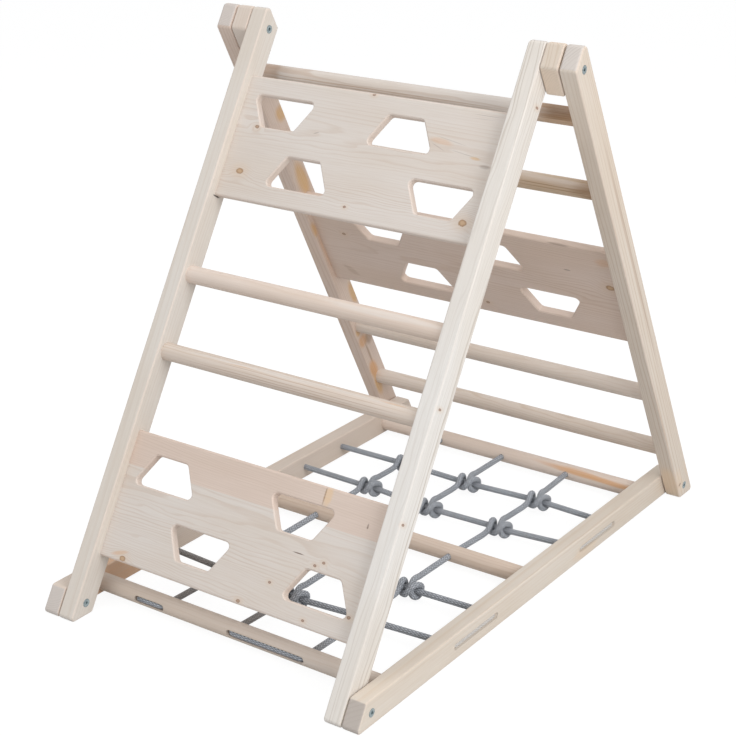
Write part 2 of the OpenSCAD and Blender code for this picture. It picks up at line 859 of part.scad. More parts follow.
front_stile_left();
front_stile_right();
front_upper_board();
front_lower_board();
front_upper_rung();
front_lower_rung();
top_spacer_left();
top_spacer_right();
back_stile_left();
back_stile_right();
back_board();
back_rung_1();
back_rung_2();
back_rung_3();
back_rung_4();
net_rail_left();
net_rail_right();
net_front_bar();
net_middle_bar();
net_rear_bar();
net_long_rope();
net_cross_rope();
top_bolts();
top_sleeve_nuts();
front_foot_bolts();
front_foot_sleeve_nuts();
rear_foot_bolts();
rear_foot_sleeve_nuts();
top_washers();
front_foot_washers();
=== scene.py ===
import math

import bmesh
import bpy
from mathutils import Matrix, Vector


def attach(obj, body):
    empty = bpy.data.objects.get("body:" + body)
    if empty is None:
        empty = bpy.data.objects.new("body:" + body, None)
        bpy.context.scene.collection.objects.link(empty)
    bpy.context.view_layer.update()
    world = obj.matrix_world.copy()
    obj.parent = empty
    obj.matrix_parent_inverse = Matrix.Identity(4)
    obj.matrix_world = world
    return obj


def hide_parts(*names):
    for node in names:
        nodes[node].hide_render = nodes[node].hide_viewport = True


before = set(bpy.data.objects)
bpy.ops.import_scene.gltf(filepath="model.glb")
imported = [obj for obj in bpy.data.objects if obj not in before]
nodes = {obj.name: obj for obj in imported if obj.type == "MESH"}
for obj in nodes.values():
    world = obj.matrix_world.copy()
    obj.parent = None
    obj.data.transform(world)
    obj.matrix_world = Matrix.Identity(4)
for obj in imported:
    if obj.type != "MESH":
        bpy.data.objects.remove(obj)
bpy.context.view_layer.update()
scene = bpy.context.scene

# ---------------------------------------------------------------- the part's sizes, in metres
# Front foot pivot in the world, and the three bars of the linkage from pivot to pivot
PIVOT_F = Vector((0, -0.493485, 0.0225))
FRONT_LEN, BACK_LEN, BASE_LEN = 1.008, 0.992, 0.988
TOP_Y = (BASE_LEN ** 2 + FRONT_LEN ** 2 - BACK_LEN ** 2) / (2 * BASE_LEN)
TOP_Z = math.sqrt(FRONT_LEN ** 2 - TOP_Y ** 2)
PIVOT_T = PIVOT_F + Vector((0, TOP_Y, TOP_Z))
LEAN_F = math.atan2(TOP_Y, TOP_Z)
LEAN_B = math.atan2(BASE_LEN - TOP_Y, TOP_Z)

# Half the width of a stile or rail, and the inner and outer faces of each lane
HALF = 0.0225
FRONT_X, NET_X, BACK_X = (0.254, 0.285), (0.2865, 0.3175), (0.319, 0.350)
SPACER_X = (0.2856, NET_X[1])
# How far the spacers stand out behind the front stiles, and the length of the flat on top
SPACER_DROP, FLAT_LEN = 0.004, 0.011

# Round bars of the net, and the two fields of its rows, from the front foot pivot
BAR_R = 0.015
BARS = [0.072, 0.496, 0.914]
FIELDS, ROW_PITCH, COLUMN_PITCH = (0.291, 0.700), 0.121, 0.143
ROWS = [field + s * ROW_PITCH / 2 for field in FIELDS for s in (-1, 1)]
COLUMNS = [-COLUMN_PITCH, 0.0, COLUMN_PITCH]
# Each knot stands this far right of its column
KNOT_SHIFT = 0.007

# Rope: its diameter in the part and as shown, the radius of its bends, the length of its end
# slots, and how deep a slot is and how far above its floor the rope's line runs
ROPE_D, ROPE_SHOWN = 0.010, 0.0105
TURN_R = 0.006
END_SLOT = 0.052
SLOT_DEEP, SLOT_LINE = 0.0115, 0.0055

# ---------------------------------------------------------------- camera
# Width of the picture in pixels and of the sensor in millimetres
IMAGE, SENSOR = 736, 36
AZIMUTH, ELEVATION, ROLL = (math.radians(a) for a in (34.844, 19.846, 0.169))
CAMERA_AT = (1.5544, -2.2709, 1.3948)
# Focal length and the line of sight's place in the picture, in pixels
FOCAL, CENTRE_X, CENTRE_Y = 1711.9, 372.8, 332.8

ahead = Vector((-math.sin(AZIMUTH) * math.cos(ELEVATION),
                math.cos(AZIMUTH) * math.cos(ELEVATION), -math.sin(ELEVATION)))
level = ahead.cross(Vector((0, 0, 1))).normalized()
upright = level.cross(ahead)
right = level * math.cos(ROLL) + upright * math.sin(ROLL)
up = upright * math.cos(ROLL) - level * math.sin(ROLL)
cam_data = bpy.data.cameras.new("camera")
cam = bpy.data.objects.new("camera", cam_data)
scene.collection.objects.link(cam)
cam.matrix_world = (Matrix.Translation(CAMERA_AT)
                    @ Matrix((right, up, -ahead)).transposed().to_4x4())
cam_data.sensor_width = SENSOR
cam_data.lens = FOCAL / IMAGE * SENSOR
cam_data.shift_x = (IMAGE / 2 - CENTRE_X) / IMAGE
cam_data.shift_y = (CENTRE_Y - IMAGE / 2) / IMAGE
cam_data.clip_start, cam_data.clip_end = 0.05, 50
scene.camera = cam

# ---------------------------------------------------------------- node helpers


class Graph:
    """A short way to write the nodes of a material or world

    Each call makes nodes and returns an output, which the next call can take in.
    """

    def __init__(self, owner):
        owner.use_nodes = True
        self.tree = owner.node_tree
        self.tree.nodes.clear()

    def put(self, socket, value):
        if isinstance(value, bpy.types.NodeSocket):
            self.tree.links.new(value, socket)
        elif value is not None:
            socket.default_value = value

    def node(self, kind, ins=(), out=0, **props):
        """A node with its inputs by number or name; out None gives the node itself"""
        n = self.tree.nodes.new("ShaderNode" + kind)
        for key, value in props.items():
            setattr(n, key, value)
        for key, value in (ins.items() if isinstance(ins, dict) else enumerate(ins)):
            self.put(n.inputs[key], value)
        return n.outputs[out] if out is not None else n

    def math(self, op, a, b=None, c=None, clamp=False):
        return self.node("Math", (a, b, c), operation=op, use_clamp=clamp)

    def add(self, first, *others):
        for x in others:
            first = self.math("ADD", first, x)
        return first

    def sub(self, a, b):
        return self.math("SUBTRACT", a, b)

    def mul(self, a, b):
        return self.math("MULTIPLY", a, b)

    def div(self, a, b):
        return self.math("DIVIDE", a, b)

    def scaled(self, x, factor, plus):
        return self.math("MULTIPLY_ADD", x, factor, plus)

    def vector(self, x, y, z):
        return self.node("CombineXYZ", (x, y, z))

    def parts(self, vector):
        return self.node("SeparateXYZ", (vector,), out=None).outputs

    def length(self, vector):
        return self.node("VectorMath", (vector,), out="Value", operation="LENGTH")

    def turned(self, vector, angle):
        """The vector turned about X"""
        return self.node("VectorRotate", {"Vector": vector, "Angle": angle},
                         rotation_type="X_AXIS")

    def place(self):
        """Where the point lies on its object"""
        return self.node("TexCoord", out="Object")

    def step(self, x, lo, hi, a=0.0, b=1.0, smooth=True):
        """x from lo to hi mapped to a to b, held outside that range"""
        kind = "SMOOTHSTEP" if smooth else "LINEAR"
        return self.node("MapRange", (x, lo, hi, a, b), interpolation_type=kind)

    def mix(self, t, a, b):
        """Colour from a to b as t goes from 0 to 1"""
        return self.node("Mix", {0: t, 6: a, 7: b}, out=2, data_type="RGBA")

    def noise(self, vector, scale, detail=2.0, rough=0.5):
        """Grey noise from 0 to 1"""
        return self.node("TexNoise", {"Vector": vector, "Scale": scale, "Detail": detail,
                                      "Roughness": rough})

    def seen(self):
        """1 where the camera sees the point itself, directly or in something shiny or clear"""
        rays = self.node("LightPath", out=None).outputs
        mirrored = self.math("MAXIMUM", rays["Is Glossy Ray"], rays["Is Transmission Ray"])
        return self.math("MAXIMUM", rays["Is Camera Ray"], mirrored)

    def principled(self, ins):
        self.node("OutputMaterial", (self.node("BsdfPrincipled", ins),), out=None)


def surface(name):
    """A new material and the graph to fill it"""
    material = bpy.data.materials.new(name)
    return material, Graph(material)


def rgb(r, g, b):
    """A colour written in display values from 0 to 255, as the shader's linear values"""
    out = []
    for v in (r, g, b):
        v /= 255
        out.append(v / 12.92 if v <= 0.04045 else ((v + 0.055) / 1.055) ** 2.4)
    return (*out, 1.0)


def between(a, b, t):
    """The colour from display values a to display values b as t goes from 0 to 1"""
    return rgb(*(p + (q - p) * t for p, q in zip(a, b)))


def tinted(colour, red, green, blue):
    """The colour with its channels multiplied"""
    return (colour[0] * red, colour[1] * green, colour[2] * blue, 1.0)


# ---------------------------------------------------------------- whitewashed spruce
# Bare wood where the wash is thin, resin, ochre heartwood, two browns, and a crack's dark
BARE, RESIN, OCHRE = rgb(226, 206, 192), rgb(216, 168, 124), rgb(214, 170, 110)
BROWN, FAINT, CRACK = rgb(156, 122, 92), rgb(186, 160, 140), rgb(104, 80, 68)
# End grain and a darker copy of it, painted shade for end grain that faces forward and down; the
# halo, middle and rim of a knot; middle and rim for a small and a large one
END_GRAIN, END_GRAIN_SHADED = rgb(208, 201, 196), rgb(178, 169, 163)
KNOT_HALO = rgb(216, 188, 160)
KNOT_MIDDLE = ((164, 134, 116), (195, 161, 124))
KNOT_RIM = ((132, 104, 90), (150, 116, 88))

# Which of the piece's axes lie along, across and deep to the grain
GRAIN_AXES = {"x": (0, 2, 1), "y": (1, 0, 2), "z": (2, 0, 1)}
# How the rings wander: scale of the noise, and how far it moves them, slow and quick
WANDER, WANDER_FAR = 2.2, 0.030
RIPPLE, RIPPLE_FAR = 9.0, 0.007
ACROSS_STRETCH = 6.0
# A glued edge: half its width, and how far the rings jump there
GLUE_LINE, GLUE_JUMP = 0.0004, 0.043
# A knot's longer and deeper sides, the radius of a small one, and how much more a large one has
KNOT_SHAPE = (0.72, 1.0, 0.35)
SMALL_KNOT, LARGER = 0.002, 0.0025
# Rings drift by this many at this scale; latewood rises and falls in these parts of a ring
DRIFT, DRIFT_SCALE, VIGOUR_SCALE = 2.6, 55.0, 30.0
LATE_RISE, LATE_FALL = (0.52, 0.88), (0.90, 1.0)
# Scales of fibres and blotches, along the grain and across it
FIBRE_ALONG, FIBRE_ACROSS = 14.0, 620.0
BLOTCH_ALONG, BLOTCH_ACROSS = 3.0, 12.0
# Fibres and the arcs in end grain are darker by these factors
SHADE = (0.86, 0.86, 0.86)
EDGE_ROUND = 0.0012


def grain_noises(g, along, across, deep, seed):
    """Noise from 0 to 1 in wavy grain: slow wander, quick ripple, fibres and blotches"""
    stretched = g.vector(along, g.mul(across, ACROSS_STRETCH),
                         g.scaled(deep, ACROSS_STRETCH, seed * 3.7))
    fibres = g.vector(g.mul(along, FIBRE_ALONG), g.mul(across, FIBRE_ACROSS),
                      g.mul(deep, FIBRE_ACROSS))
    blotches = g.vector(g.mul(along, BLOTCH_ALONG), g.mul(across, BLOTCH_ACROSS),
                        g.scaled(deep, BLOTCH_ACROSS, seed))
    return (g.noise(stretched, WANDER, 3.0), g.noise(stretched, RIPPLE),
            g.noise(fibres, 1.0, 3.0, 0.6), g.step(g.noise(blotches, 1.0, 3.0, 0.55), 0.3, 0.72))


def knot_in_wood(g, here, centre, size):
    """How far a knot pushes the rings aside, and the masks of its halo, middle and rim"""
    gap = g.node("VectorMath", (here, tuple(centre)), operation="SUBTRACT")
    far = g.length(g.node("VectorMath", (gap, KNOT_SHAPE), operation="MULTIPLY"))
    ragged = g.scaled(g.noise(here, 260.0), size * 0.5, g.sub(far, size * 0.25))
    inside = g.step(ragged, size * 0.75, size * 1.15, 1.0, 0.0)
    push = g.mul(g.step(far, 0.0, size * 5.5, 1.0, 0.0), size * 1.5)
    halo = g.step(far, size * 0.8, size * 4.0, 1.0, 0.0)
    return push, halo, inside, g.mul(inside, g.step(ragged, size * 0.35, size * 0.95))


def growth_rings(g, radius, along, ring, seed):
    """Latewood, from 0 to 1, in rings of uneven width and strength at this radius"""
    drift = g.noise(g.vector(g.mul(radius, DRIFT_SCALE), seed * 1.3, 0.0), 1.0, 1.0)
    phase = g.math("FRACT", g.scaled(drift, DRIFT, g.div(radius, ring)))
    late = g.mul(g.step(phase, *LATE_RISE), g.step(phase, *LATE_FALL, 1.0, 0.0))
    vigour = g.noise(g.vector(g.mul(radius, VIGOUR_SCALE), seed * 5.1, along), 1.0)
    return g.mul(late, g.step(vigour, 0.3, 0.75, 0.15, 1.0))


def streak_mask(g, spot, ripple, centre, half_len, half_wid, slant, strength):
    """A flat oval with a wavy edge, which fades out at its rim"""
    run, aside, deeper = (g.sub(v, c) for v, c in zip(spot, centre))
    aside = g.sub(aside, g.mul(run, slant))
    waved = g.add(aside, g.mul(g.sub(ripple, 0.5), half_wid * 1.6))
    depth = g.div(deeper, max(half_wid * 3, 0.004))
    far = g.length(g.vector(g.div(run, half_len), g.div(waved, half_wid), depth))
    return g.step(far, 0.45, 1.1, strength, 0.0)


def worn_edges(g, base, lean, flat, lengthwise, worn, growth, end):
    """Bare wood along the edges, and on the ends of a stile or rail or the walls of a board"""
    facing = g.parts(g.turned(g.node("TexCoord", out="Normal"), -lean))
    square = g.math("ABSOLUTE", facing[flat])
    sideways = g.math("SQRT", g.math("SUBTRACT", 1.0, g.mul(square, square), clamp=True))
    base = g.mix(g.step(g.mul(square, sideways), 0.10, 0.40, 0.0, worn), base, BARE)
    if flat == 0:
        arcs = g.mix(growth, end, tinted(end, *SHADE))
        at_end = g.step(g.math("ABSOLUTE", facing[lengthwise]), 0.55, 0.8, 0.0, 0.75)
        return g.mix(at_end, base, arcs)
    return g.mix(g.step(square, 0.15, 0.45, 0.5, 0.0), base, BARE)


def spruce(name, lean, origin, grain, pith, colours, seed, ring=0.0034, rings=0.5, knots=(),
           strips=(), streaks=(), flat=None, worn=0.35, end=END_GRAIN):
    """Spruce whose growth rings are cylinders round a pith line, under a thin white wash

    lean, origin: the piece's own axes, as a turn about X and a place
    grain: which of those axes the grain follows
    pith: where the pith runs, as two distances across the grain and its slant along it
    colours: earlywood and latewood
    ring, rings: width of a ring, and how strongly the rings show
    knots: (along, across, deep, radius)
    strips: glued edges across the grain, as a place and a colour
    streaks: (along, across, deep, half length, half width, slant, colour, strength)
    flat: axis square to the widest faces, 0 for a stile or rail, 1 for a board, None if round
    worn: how much of the wash is gone along the edges
    end: colour of the end grain of a stile or rail
    """
    material, g = surface("spruce_" + name)
    from_origin = g.node("VectorMath", (g.place(), tuple(origin)), operation="SUBTRACT")
    axes = g.parts(g.turned(from_origin, -lean))
    order = GRAIN_AXES[grain]
    spot = [axes[i] for i in order]
    along, across, deep = spot
    wander, ripple, fibre, blotch = grain_noises(g, along, across, deep, seed)
    strip_masks = [(g.step(across, at - GLUE_LINE, at + GLUE_LINE, smooth=False), colour)
                   for at, colour in strips]
    knot_parts = [knot_in_wood(g, g.vector(*spot), centre, size) for *centre, size in knots]

    # Distance to the pith, with the wander of the grain, the jump at a strip and the knots
    lift = g.add(g.scaled(wander, WANDER_FAR, -WANDER_FAR / 2),
                 g.scaled(ripple, RIPPLE_FAR, -RIPPLE_FAR / 2))
    jumps = [g.mul(mask, GLUE_JUMP) for mask, _ in strip_masks]
    from_pith = g.add(across, g.scaled(along, pith[2], -pith[0]), lift, *jumps)
    beside_pith = g.add(g.sub(deep, pith[1]), g.mul(lift, 0.6))
    radius = g.math("SQRT", g.add(g.mul(from_pith, from_pith), g.mul(beside_pith, beside_pith)))
    growth = growth_rings(g, g.add(radius, *(parts[0] for parts in knot_parts)), along, ring, seed)
    lines = g.mul(growth, rings)

    # Plain wood, each glued strip in its own colour, then the rings and the fibres
    early, dark = colours
    base = g.mix(blotch, early, tinted(early, 0.955, 0.925, 0.89))
    for mask, colour in strip_masks:
        base = g.mix(mask, base, g.mix(blotch, colour, tinted(colour, 0.96, 0.94, 0.92)))
    base = g.mix(lines, base, dark)
    base = g.mix(g.step(fibre, 0.25, 0.75, 0.0, 0.16), base, tinted(dark, *SHADE))

    # Streaks and cracks, which the fibres break up, and knots
    broken = g.step(fibre, 0.2, 0.7, 0.6, 1.0)
    for *centre, half_len, half_wid, slant, colour, strength in streaks:
        mask = streak_mask(g, spot, ripple, centre, half_len, half_wid, slant, strength)
        base = g.mix(g.mul(mask, broken), base, colour)
    for (push, halo, inside, rim), (*centre, size) in zip(knot_parts, knots):
        large = min(max((size - SMALL_KNOT) / LARGER, 0.0), 1.0)
        base = g.mix(g.mul(halo, 0.3), base, KNOT_HALO)
        base = g.mix(g.mul(inside, 0.85), base, between(*KNOT_MIDDLE, large))
        base = g.mix(g.mul(rim, 0.8), base, between(*KNOT_RIM, large))

    if flat is not None:
        base = worn_edges(g, base, lean, flat, order[0], worn, growth, end)
    rounded = g.node("Bevel", {"Radius": EDGE_ROUND}, samples=4)
    height = g.add(g.mul(lines, -0.5), g.mul(fibre, 0.6))
    bump = g.node("Bump", {"Strength": 0.22, "Distance": 0.0005, "Height": height,
                           "Normal": rounded})
    g.principled({"Base Color": base, "Roughness": g.step(fibre, 0.2, 0.8, 0.57, 0.70),
                  "Normal": bump, "Specular IOR Level": 0.35})
    return material


def give(node, material):
    """The CAD node keeps its mesh and shows this material"""
    obj = nodes[node]
    if obj.material_slots:
        for s in obj.material_slots:
            s.link = "OBJECT"
            s.material = material
    else:
        obj.data.materials.append(material)


# ---------------------------------------------------------------- timber with rounded edges
# Side views lie in Y and Z, from the front foot pivot. Each is what some half planes leave,
# as (outward normal, distance, radius of the edges along it).
LONG_EDGE, FOOT_EDGE, TOP_EDGE = 0.003, 0.0035, 0.0050
TOP_CORNER, FOOT_CORNER, INNER_CORNER = 0.0075, 0.0065, 0.004
# Corners below this height belong to a foot
FOOT_BELOW = 0.1
FRONT_N = Vector((-math.cos(LEAN_F), math.sin(LEAN_F)))
BACK_N = Vector((math.cos(LEAN_B), math.sin(LEAN_B)))
UP_N = Vector((0, 1))
BACK_AT = BACK_N.x * BASE_LEN
# Height of the flat that cuts off the top, where the outer faces are FLAT_LEN apart
FLAT_Z = ((BASE_LEN + HALF / math.cos(LEAN_B) + HALF / math.cos(LEAN_F) - FLAT_LEN)
          / (math.tan(LEAN_F) + math.tan(LEAN_B)))
FRONT_VIEW = [
    (FRONT_N, HALF, LONG_EDGE), (-FRONT_N, HALF, LONG_EDGE), (-UP_N, HALF, FOOT_EDGE),
    (UP_N, FLAT_Z, TOP_EDGE), (BACK_N, BACK_AT + HALF, TOP_EDGE)]
BACK_VIEW = [
    (BACK_N, BACK_AT + HALF, LONG_EDGE), (-BACK_N, HALF - BACK_AT, LONG_EDGE),
    (-UP_N, HALF, FOOT_EDGE), (UP_N, FLAT_Z, TOP_EDGE), (FRONT_N, HALF, TOP_EDGE)]
SPACER_VIEW = [
    (FRONT_N, HALF, LONG_EDGE), (-FRONT_N, HALF + SPACER_DROP, LONG_EDGE),
    (BACK_N, BACK_AT + HALF, LONG_EDGE), (-BACK_N, HALF - BACK_AT, LONG_EDGE),
    (UP_N, FLAT_Z, TOP_EDGE)]
RAIL_VIEW = [
    (UP_N, HALF, LONG_EDGE), (-UP_N, HALF, LONG_EDGE), (FRONT_N, HALF, FOOT_EDGE),
    (BACK_N, BACK_AT + HALF, FOOT_EDGE)]
CORNER_STEPS, EDGE_STEPS, HOLE_SIDES = 6, 5, 40


def side_view(planes):
    """Outline inside all the half planes, corners rounded, as (point, normal, edge radius)"""
    poly = [Vector(q) for q in ((-1, -1), (2, -1), (2, 2), (-1, 2))]
    for n, limit, _ in planes:
        cut = []
        for a, b in zip(poly, poly[1:] + poly[:1]):
            da, db = n.dot(a) - limit, n.dot(b) - limit
            if da <= 0:
                cut.append(a)
            if da * db < 0:
                cut.append(a.lerp(b, da / (da - db)))
        poly = cut

    def edge_radius(a, b):
        return next(r for n, limit, r in planes
                    if abs(n.dot(a) - limit) + abs(n.dot(b) - limit) < 1e-6)

    out = []
    for i, q in enumerate(poly):
        before, after = poly[i - 1], poly[(i + 1) % len(poly)]
        ua, ub = (before - q).normalized(), (after - q).normalized()
        half = ua.angle(ub) / 2
        r = TOP_CORNER if q.y > TOP_Z else FOOT_CORNER if q.y < FOOT_BELOW else INNER_CORNER
        centre = q + (ua + ub).normalized() * r / math.sin(half)
        start, end = (q + u * r / math.tan(half) - centre for u in (ua, ub))
        ra, rb = edge_radius(before, q), edge_radius(q, after)
        for k in range(CORNER_STEPS + 1):
            t = k / CORNER_STEPS
            way = start.lerp(end, t).normalized()
            out.append((centre + way * r, way, ra + (rb - ra) * t))
    return out


def placed(x, q):
    """World place of side view point q in the plane at x"""
    return Vector((x, PIVOT_F.y + q.x, PIVOT_F.z + q.y))


def rings_to_mesh(name, rings):
    """Closed shape through rings of equal length, capped at both ends"""
    n = len(rings[0])
    faces = [tuple(range(n)), tuple(range((len(rings) - 1) * n, len(rings) * n))]
    for i in range(len(rings) - 1):
        faces += [(i * n + k, i * n + (k + 1) % n, (i + 1) * n + (k + 1) % n, (i + 1) * n + k)
                  for k in range(n)]
    mesh = bpy.data.meshes.new(name)
    mesh.from_pydata([v for ring in rings for v in ring], [], faces)
    b = bmesh.new()
    b.from_mesh(mesh)
    bmesh.ops.recalc_face_normals(b, faces=b.faces)
    b.to_mesh(mesh)
    b.free()
    obj = bpy.data.objects.new(name, mesh)
    scene.collection.objects.link(obj)
    return obj


def cutter(at, d, x0, x1, length=0.0):
    """Shape of a hole across X, round or stretched by a length along Y from its front end"""
    r, view = d / 2, []
    for k in range(HOLE_SIDES):
        a = 2 * math.pi * (k + 0.5) / HOLE_SIDES
        reach = length if math.cos(a) > 0 else 0
        view.append(Vector(at) + Vector((r * math.cos(a) + reach, r * math.sin(a))))
    return rings_to_mesh("cutter", [[placed(x, q) for q in view] for x in (x0, x1)])


def timber(name, side, lane, planes, holes, body, material):
    """A stile, rail or spacer across one lane of the right (+1) or left (-1) side"""
    view = side_view(planes)
    x0, x1 = (side * v for v in lane)
    rings = []
    for x, inwards, steps in ((x0, side, range(EDGE_STEPS, -1, -1)),
                              (x1, -side, range(EDGE_STEPS + 1))):
        for k in steps:
            a = math.pi / 2 * k / EDGE_STEPS
            inset, drop = 1 - math.sin(a), 1 - math.cos(a)
            rings.append([placed(x + inwards * r * inset, q - way * r * drop) for q, way, r in view])
    obj = rings_to_mesh(name, rings)
    cutters = [cutter(at, d, side * a, side * b, length) for at, d, a, b, length in holes]
    for c in cutters:
        cut = obj.modifiers.new("hole", "BOOLEAN")
        cut.object, cut.operation, cut.solver = c, "DIFFERENCE", "EXACT"
    evaluated = obj.evaluated_get(bpy.context.evaluated_depsgraph_get())
    shaped = bpy.data.meshes.new_from_object(evaluated)
    obj.modifiers.clear()
    obj.data = shaped
    for c in cutters:
        bpy.data.objects.remove(c)
    for poly in shaped.polygons:
        poly.use_smooth = True
    shaped.materials.clear()
    shaped.materials.append(material)
    shading = obj.modifiers.new("even shading", "WEIGHTED_NORMAL")
    shading.keep_sharp = True
    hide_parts(name)
    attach(obj, body)


# Holes as (side view place, diameter, from x, to x, length); a cutter stands PAST its face
SLEEVE, SHANK, HEAD, ROPE_HOLE = 0.0091, 0.0061, 0.015, 0.011
HEAD_DEEP, SLEEVE_DEEP, PAST = 0.0032, 0.0205, 0.001
FOOT_F, FOOT_R, TOP = (0.0, 0.0), (BASE_LEN, 0.0), (TOP_Y, TOP_Z)


def through(at, d, lane):
    return (at, d, lane[0] - PAST, lane[1] + PAST, 0.0)


def inside_recess(at, d, lane, deep):
    return (at, d, lane[0] - PAST, lane[0] + deep, 0.0)


def outside_recess(at, d, lane, deep, length=0.0):
    return (at, d, lane[1] - deep, lane[1] + PAST, length)


def rope_slot(y, length):
    return outside_recess((y, 0), ROPE_HOLE, NET_X, SLOT_DEEP, length)


front_holes, back_holes = [], []
for at in (FOOT_F, TOP):
    front_holes += [through(at, SLEEVE, FRONT_X), inside_recess(at, HEAD, FRONT_X, HEAD_DEEP)]
for at in (FOOT_R, TOP):
    back_holes += [through(at, SHANK, BACK_X), outside_recess(at, HEAD, BACK_X, HEAD_DEEP)]
spacer_holes = [through(TOP, SLEEVE, NET_X)]
rail_holes = [through((y, 0), ROPE_HOLE, NET_X) for y in ROWS] + [
    inside_recess(FOOT_F, SLEEVE, NET_X, SLEEVE_DEEP), through(FOOT_F, SHANK, NET_X),
    outside_recess(FOOT_F, HEAD, NET_X, HEAD_DEEP), through(FOOT_R, SLEEVE, NET_X),
    inside_recess(FOOT_R, HEAD, NET_X, HEAD_DEEP)]
left_slots = [rope_slot(ROWS[0] - END_SLOT, END_SLOT), rope_slot(ROWS[1], ROWS[2] - ROWS[1]),
              rope_slot(ROWS[3], END_SLOT)]
right_slots = [rope_slot(ROWS[0], ROW_PITCH), rope_slot(ROWS[2], ROW_PITCH)]

# ---------------------------------------------------------------- each piece's wood
# Earlywood and latewood, about from the palest to the darkest
WHITE = (rgb(234, 230, 225), rgb(192, 180, 167))
FAIR = (rgb(230, 215, 204), rgb(204, 178, 156))
LEFT = (rgb(227, 220, 212), rgb(206, 190, 174))
NEUTRAL = (rgb(225, 216, 205), rgb(206, 180, 152))
PALE = (rgb(224, 216, 209), rgb(200, 178, 160))
CREAM = (rgb(225, 214, 202), rgb(192, 168, 142))
GREY = (rgb(222, 214, 207), rgb(186, 160, 138))
WARM = (rgb(223, 210, 199), rgb(200, 177, 153))
TAN = (rgb(224, 206, 191), rgb(196, 168, 142))
ROSY = (rgb(224, 206, 194), rgb(190, 160, 136))
PINK_STRIP = rgb(222, 204, 192)


def at_depth(deep, marks):
    """Knots or streaks of one face square to the depth, written without it"""
    return [(along, across, deep, *rest) for along, across, *rest in marks]


def at_side(across, marks):
    """Knots or streaks of one face square to the second axis, written without it"""
    return [(along, across, deep, *rest) for along, deep, *rest in marks]


# Painted shadow: a dark spot on the stile in the gap under the upper board's end
PAINTED_SHADOW_UNDER_BOARD = at_side(-FRONT_X[0], [(-0.3005, 0.0005, 0.0019, 0.0036, 0.0, rgb(44, 24, 20), 1.0)])
timber("front_stile_left", -1, FRONT_X, FRONT_VIEW, front_holes, "front_frame",
       spruce("front_left", -LEAN_F, PIVOT_T, "z", (-0.31, 0.06, 0.02), LEFT, 1.0,
              ring=0.0050, rings=0.4, flat=0, streaks=PAINTED_SHADOW_UNDER_BOARD))
timber("front_stile_right", 1, FRONT_X, FRONT_VIEW, front_holes, "front_frame",
       spruce("front_right", -LEAN_F, PIVOT_T, "z", (0.36, 0.075, -0.008), WHITE, 2.0,
              ring=0.0050, rings=0.9, flat=0, worn=0.08, knots=at_side(
                  FRONT_X[1], [(-0.067, 0.009, 0.0015), (-0.554, -0.009, 0.0015),
                               (-0.734, -0.015, 0.0015)])))

# Ochre heartwood, resin and brown growth along the inner face of the left back stile
HEARTWOOD = at_side(-BACK_X[0], [
    (-0.205, 0.014, 0.020, 0.0060, 0.0, OCHRE, 0.8),
    (-0.355, 0.002, 0.050, 0.0060, 0.0, OCHRE, 0.85),
    (-0.464, -0.020, 0.020, 0.0040, 0.0, OCHRE, 0.7),
    (-0.515, -0.010, 0.070, 0.0030, 0.0, RESIN, 0.4),
    (-0.664, 0.014, 0.034, 0.0035, 0.0, OCHRE, 0.8),
    (-0.752, -0.012, 0.012, 0.0030, 0.0, OCHRE, 0.7),
    (-0.780, -0.008, 0.018, 0.0060, 0.0, RESIN, 0.9),
    (-0.788, 0.010, 0.018, 0.0050, 0.0, BROWN, 0.6),
    (-0.820, -0.005, 0.040, 0.0012, 0.0, BROWN, 0.6),
    (-0.862, -0.009, 0.028, 0.0050, 0.0, RESIN, 1.0),
    (-0.905, -0.012, 0.035, 0.0040, 0.0, OCHRE, 0.8)])
timber("back_stile_left", -1, BACK_X, BACK_VIEW, back_holes, "back_frame",
       spruce("back_left", LEAN_B, PIVOT_T, "z", (-0.37, 0.05, 0.02), ROSY, 3.0, flat=0,
              streaks=HEARTWOOD))
# A fine brown line down the outer face, a knot and a peach foot
timber("back_stile_right", 1, BACK_X, BACK_VIEW, back_holes, "back_frame",
       spruce("back_right", LEAN_B, PIVOT_T, "z", (0.40, -0.06, 0.01), CREAM, 4.0,
              ring=0.0052, rings=0.5, flat=0, knots=[(-0.975, BACK_X[1], -0.014, 0.0014)],
              streaks=[(-0.40, BACK_X[1], 0.006, 0.30, 0.0008, 0.0, BROWN, 0.45),
                       (-0.965, 0.335, -HALF, 0.05, 0.02, 0.0, rgb(232, 206, 176), 0.7)]))

timber("top_spacer_left", -1, SPACER_X, SPACER_VIEW, spacer_holes, "front_frame",
       spruce("spacer_left", -LEAN_F, PIVOT_T, "z", (-0.34, 0.05, 0.02), WARM, 5.0, flat=0,
              end=WARM[0]))
timber("top_spacer_right", 1, SPACER_X, SPACER_VIEW, spacer_holes, "front_frame",
       spruce("spacer_right", -LEAN_F, PIVOT_T, "z", (0.34, 0.05, 0.02), CREAM, 6.0, flat=0,
              end=rgb(226, 207, 188)))

# Orange heartwood at the left rail's front end, a faint stain on the right rail's outer face, and
# painted shade on the right rail's end grain
timber("net_rail_left", -1, NET_X, RAIL_VIEW, rail_holes + left_slots, "net_frame",
       spruce("rail_left", 0.0, PIVOT_F, "y", (-0.33, 0.08, 0.01), WARM, 7.0, flat=0,
              streaks=[(0.11, -NET_X[0], -0.005, 0.10, 0.04, 0.0, rgb(230, 190, 156), 1.0)]))
timber("net_rail_right", 1, NET_X, RAIL_VIEW, rail_holes + right_slots, "net_frame",
       spruce("rail_right", 0.0, PIVOT_F, "y", (0.34, -0.07, 0.01), NEUTRAL, 8.0,
              ring=0.0060, rings=0.35, flat=0, worn=0.15, end=END_GRAIN_SHADED,
              streaks=[(0.66, NET_X[1], -0.006, 0.07, 0.006, 0.1, rgb(226, 200, 172), 0.5)]))

# Streaks on the round pieces, each list under what it shows
# A paler patch
UPPER_STEP_MARKS = [(0.14, -0.434, -0.0138, 0.14, 0.006, 0.0, rgb(228, 221, 215), 0.6)]
